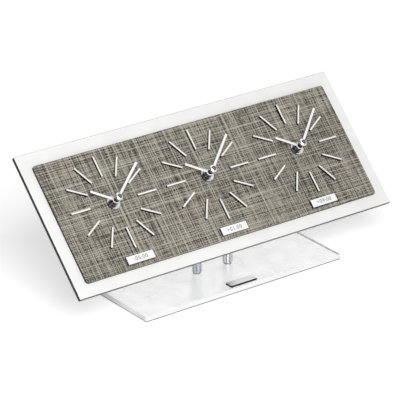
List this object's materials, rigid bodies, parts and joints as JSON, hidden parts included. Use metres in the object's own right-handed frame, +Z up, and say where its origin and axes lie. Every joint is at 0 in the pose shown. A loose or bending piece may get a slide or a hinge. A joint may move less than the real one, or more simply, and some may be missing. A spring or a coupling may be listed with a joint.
{
  "type": "world time clock",
  "caption": "Desk clock with a wide white panel leaning back on two posts over a clear base; each dial on its woven plate has bar hands, hour markers and a small zone plate, driven from behind.",
  "frame": {"origin": "middle of the base plate's underside, on the surface it stands on", "axes": "+Z up, +X along the wide panel to the right as the dials are read, -Y towards the reader"},
  "size_m": [0.4, 0.1245, 0.1566],
  "materials": {
    "clear_acrylic": "polished clear cast acrylic",
    "white_panel": "white sheet with dark polished edges",
    "woven_taupe": "fine woven laminate, satin",
    "cream_marker": "polished cream",
    "white_plate": "gloss white",
    "polished_chrome": "mirror polished",
    "silver_hand": "bright satin",
    "black_case": "fine moulded black",
    "black_knob": "moulded black, ribbed",
    "white_wheel": "natural moulded",
    "black_wheel": "moulded black",
    "arbor_brass": "turned",
    "rotor_magnet": "dull grey magnet",
    "battery_wrap": "plain dark sleeve",
    "contact_steel": "nickel plated strip",
    "board_green": "solder mask green",
    "stator_steel": "bare pressed sheet",
    "coil_copper": "lacquered copper wire",
    "screw_steel": "bright zinc plated"
  },
  "bodies": {
    "stand": {"base_plate": "clear_acrylic", "base_badge": "polished_chrome", "left_post": "polished_chrome", "right_post": "polished_chrome", "front_panel": "white_panel", "dial_plate": "woven_taupe", "base_screws": "screw_steel", "panel_screws": "screw_steel", "hour_markers": "cream_marker", "zone_plates": "white_plate", "fixing_nuts": "polished_chrome", "battery_contacts": "contact_steel", "circuit_boards": "board_green", "stators": "stator_steel", "coils": "coil_copper", "movement_case_left": "black_case", "movement_cover_left": "black_case", "battery_left": "battery_wrap", "movement_case_middle": "black_case", "movement_cover_middle": "black_case", "battery_middle": "battery_wrap", "movement_case_right": "black_case", "movement_cover_right": "black_case", "battery_right": "battery_wrap"},
    "minute_left": {"minute_arbor_left": "arbor_brass", "minute_hand_left": "silver_hand", "hand_cap_left": "polished_chrome"},
    "hour_left": {"hour_wheel_left": "black_wheel", "hour_hand_left": "silver_hand"},
    "motion_left": {"minute_wheel_left": "white_wheel"},
    "knob_left": {"setting_knob_left": "black_knob"},
    "rotor_left": {"rotor_left": "rotor_magnet"},
    "fifth_left": {"fifth_wheel_left": "white_wheel"},
    "seconds_left": {"seconds_wheel_left": "white_wheel"},
    "third_left": {"third_wheel_left": "white_wheel"},
    "centre_left": {"centre_wheel_left": "white_wheel"},
    "minute_middle": {"minute_arbor_middle": "arbor_brass", "minute_hand_middle": "silver_hand", "hand_cap_middle": "polished_chrome"},
    "hour_middle": {"hour_wheel_middle": "black_wheel", "hour_hand_middle": "silver_hand"},
    "motion_middle": {"minute_wheel_middle": "white_wheel"},
    "knob_middle": {"setting_knob_middle": "black_knob"},
    "rotor_middle": {"rotor_middle": "rotor_magnet"},
    "fifth_middle": {"fifth_wheel_middle": "white_wheel"},
    "seconds_middle": {"seconds_wheel_middle": "white_wheel"},
    "third_middle": {"third_wheel_middle": "white_wheel"},
    "centre_middle": {"centre_wheel_middle": "white_wheel"},
    "minute_right": {"minute_arbor_right": "arbor_brass", "minute_hand_right": "silver_hand", "hand_cap_right": "polished_chrome"},
    "hour_right": {"hour_wheel_right": "black_wheel", "hour_hand_right": "silver_hand"},
    "motion_right": {"minute_wheel_right": "white_wheel"},
    "knob_right": {"setting_knob_right": "black_knob"},
    "rotor_right": {"rotor_right": "rotor_magnet"},
    "fifth_right": {"fifth_wheel_right": "white_wheel"},
    "seconds_right": {"seconds_wheel_right": "white_wheel"},
    "third_right": {"third_wheel_right": "white_wheel"},
    "centre_right": {"centre_wheel_right": "white_wheel"}
  },
  "joints": [
    {"name": "minute_turn_left", "type": "hinge", "parent": "stand", "child": "minute_left", "pos_m": [-0.118, 0.01333, 0.10067], "axis": [0, -0.7071, 0.7071], "continuous": true},
    {"name": "hour_turn_left", "type": "hinge", "parent": "stand", "child": "hour_left", "pos_m": [-0.118, 0.01333, 0.10067], "axis": [0, -0.7071, 0.7071], "continuous": true},
    {"name": "motion_turn_left", "type": "hinge", "parent": "stand", "child": "motion_left", "pos_m": [-0.1084, 0.01333, 0.10067], "axis": [0, -0.7071, 0.7071], "continuous": true},
    {"name": "knob_turn_left", "type": "hinge", "parent": "stand", "child": "knob_left", "pos_m": [-0.09895, 0.01215, 0.09949], "axis": [0, -0.7071, 0.7071], "continuous": true},
    {"name": "rotor_turn_left", "type": "hinge", "parent": "stand", "child": "rotor_left", "pos_m": [-0.13051, 0.02187, 0.10921], "axis": [0, -0.7071, 0.7071], "continuous": true},
    {"name": "fifth_turn_left", "type": "hinge", "parent": "stand", "child": "fifth_left", "pos_m": [-0.12631, 0.01672, 0.10407], "axis": [0, -0.7071, 0.7071], "continuous": true},
    {"name": "seconds_turn_left", "type": "hinge", "parent": "stand", "child": "seconds_left", "pos_m": [-0.118, 0.01333, 0.10067], "axis": [0, -0.7071, 0.7071], "continuous": true},
    {"name": "third_turn_left", "type": "hinge", "parent": "stand", "child": "third_left", "pos_m": [-0.1129, 0.01957, 0.10692], "axis": [0, -0.7071, 0.7071], "continuous": true},
    {"name": "centre_turn_left", "type": "hinge", "parent": "stand", "child": "centre_left", "pos_m": [-0.118, 0.01333, 0.10067], "axis": [0, -0.7071, 0.7071], "continuous": true},
    {"name": "minute_turn_middle", "type": "hinge", "parent": "stand", "child": "minute_middle", "pos_m": [0, 0.01333, 0.10067], "axis": [0, -0.7071, 0.7071], "continuous": true},
    {"name": "hour_turn_middle", "type": "hinge", "parent": "stand", "child": "hour_middle", "pos_m": [0, 0.01333, 0.10067], "axis": [0, -0.7071, 0.7071], "continuous": true},
    {"name": "motion_turn_middle", "type": "hinge", "parent": "stand", "child": "motion_middle", "pos_m": [0.0096, 0.01333, 0.10067], "axis": [0, -0.7071, 0.7071], "continuous": true},
    {"name": "knob_turn_middle", "type": "hinge", "parent": "stand", "child": "knob_middle", "pos_m": [0.01905, 0.01215, 0.09949], "axis": [0, -0.7071, 0.7071], "continuous": true},
    {"name": "rotor_turn_middle", "type": "hinge", "parent": "stand", "child": "rotor_middle", "pos_m": [-0.01251, 0.02187, 0.10921], "axis": [0, -0.7071, 0.7071], "continuous": true},
    {"name": "fifth_turn_middle", "type": "hinge", "parent": "stand", "child": "fifth_middle", "pos_m": [-0.00831, 0.01672, 0.10407], "axis": [0, -0.7071, 0.7071], "continuous": true},
    {"name": "seconds_turn_middle", "type": "hinge", "parent": "stand", "child": "seconds_middle", "pos_m": [0, 0.01333, 0.10067], "axis": [0, -0.7071, 0.7071], "continuous": true},
    {"name": "third_turn_middle", "type": "hinge", "parent": "stand", "child": "third_middle", "pos_m": [0.0051, 0.01957, 0.10692], "axis": [0, -0.7071, 0.7071], "continuous": true},
    {"name": "centre_turn_middle", "type": "hinge", "parent": "stand", "child": "centre_middle", "pos_m": [0, 0.01333, 0.10067], "axis": [0, -0.7071, 0.7071], "continuous": true},
    {"name": "minute_turn_right", "type": "hinge", "parent": "stand", "child": "minute_right", "pos_m": [0.118, 0.01333, 0.10067], "axis": [0, -0.7071, 0.7071], "continuous": true},
    {"name": "hour_turn_right", "type": "hinge", "parent": "stand", "child": "hour_right", "pos_m": [0.118, 0.01333, 0.10067], "axis": [0, -0.7071, 0.7071], "continuous": true},
    {"name": "motion_turn_right", "type": "hinge", "parent": "stand", "child": "motion_right", "pos_m": [0.1276, 0.01333, 0.10067], "axis": [0, -0.7071, 0.7071], "continuous": true},
    {"name": "knob_turn_right", "type": "hinge", "parent": "stand", "child": "knob_right", "pos_m": [0.13705, 0.01215, 0.09949], "axis": [0, -0.7071, 0.7071], "continuous": true},
    {"name": "rotor_turn_right", "type": "hinge", "parent": "stand", "child": "rotor_right", "pos_m": [0.10549, 0.02187, 0.10921], "axis": [0, -0.7071, 0.7071], "continuous": true},
    {"name": "fifth_turn_right", "type": "hinge", "parent": "stand", "child": "fifth_right", "pos_m": [0.10969, 0.01672, 0.10407], "axis": [0, -0.7071, 0.7071], "continuous": true},
    {"name": "seconds_turn_right", "type": "hinge", "parent": "stand", "child": "seconds_right", "pos_m": [0.118, 0.01333, 0.10067], "axis": [0, -0.7071, 0.7071], "continuous": true},
    {"name": "third_turn_right", "type": "hinge", "parent": "stand", "child": "third_right", "pos_m": [0.1231, 0.01957, 0.10692], "axis": [0, -0.7071, 0.7071], "continuous": true},
    {"name": "centre_turn_right", "type": "hinge", "parent": "stand", "child": "centre_right", "pos_m": [0.118, 0.01333, 0.10067], "axis": [0, -0.7071, 0.7071], "continuous": true}
  ],
  "couplings": [
    {"joint": "hour_turn_left", "follows": "minute_turn_left", "ratio": 0.083333},
    {"joint": "motion_turn_left", "follows": "minute_turn_left", "ratio": -0.33333},
    {"joint": "knob_turn_left", "follows": "minute_turn_left", "ratio": 1},
    {"joint": "fifth_turn_left", "follows": "rotor_turn_left", "ratio": -0.16667},
    {"joint": "seconds_turn_left", "follows": "rotor_turn_left", "ratio": 0.033333},
    {"joint": "third_turn_left", "follows": "rotor_turn_left", "ratio": -0.0044444},
    {"joint": "centre_turn_left", "follows": "rotor_turn_left", "ratio": 0.00055556},
    {"joint": "hour_turn_middle", "follows": "minute_turn_middle", "ratio": 0.083333},
    {"joint": "motion_turn_middle", "follows": "minute_turn_middle", "ratio": -0.33333},
    {"joint": "knob_turn_middle", "follows": "minute_turn_middle", "ratio": 1},
    {"joint": "fifth_turn_middle", "follows": "rotor_turn_middle", "ratio": -0.16667},
    {"joint": "seconds_turn_middle", "follows": "rotor_turn_middle", "ratio": 0.033333},
    {"joint": "third_turn_middle", "follows": "rotor_turn_middle", "ratio": -0.0044444},
    {"joint": "centre_turn_middle", "follows": "rotor_turn_middle", "ratio": 0.00055556},
    {"joint": "hour_turn_right", "follows": "minute_turn_right", "ratio": 0.083333},
    {"joint": "motion_turn_right", "follows": "minute_turn_right", "ratio": -0.33333},
    {"joint": "knob_turn_right", "follows": "minute_turn_right", "ratio": 1},
    {"joint": "fifth_turn_right", "follows": "rotor_turn_right", "ratio": -0.16667},
    {"joint": "seconds_turn_right", "follows": "rotor_turn_right", "ratio": 0.033333},
    {"joint": "third_turn_right", "follows": "rotor_turn_right", "ratio": -0.0044444},
    {"joint": "centre_turn_right", "follows": "rotor_turn_right", "ratio": 0.00055556}
  ]
}
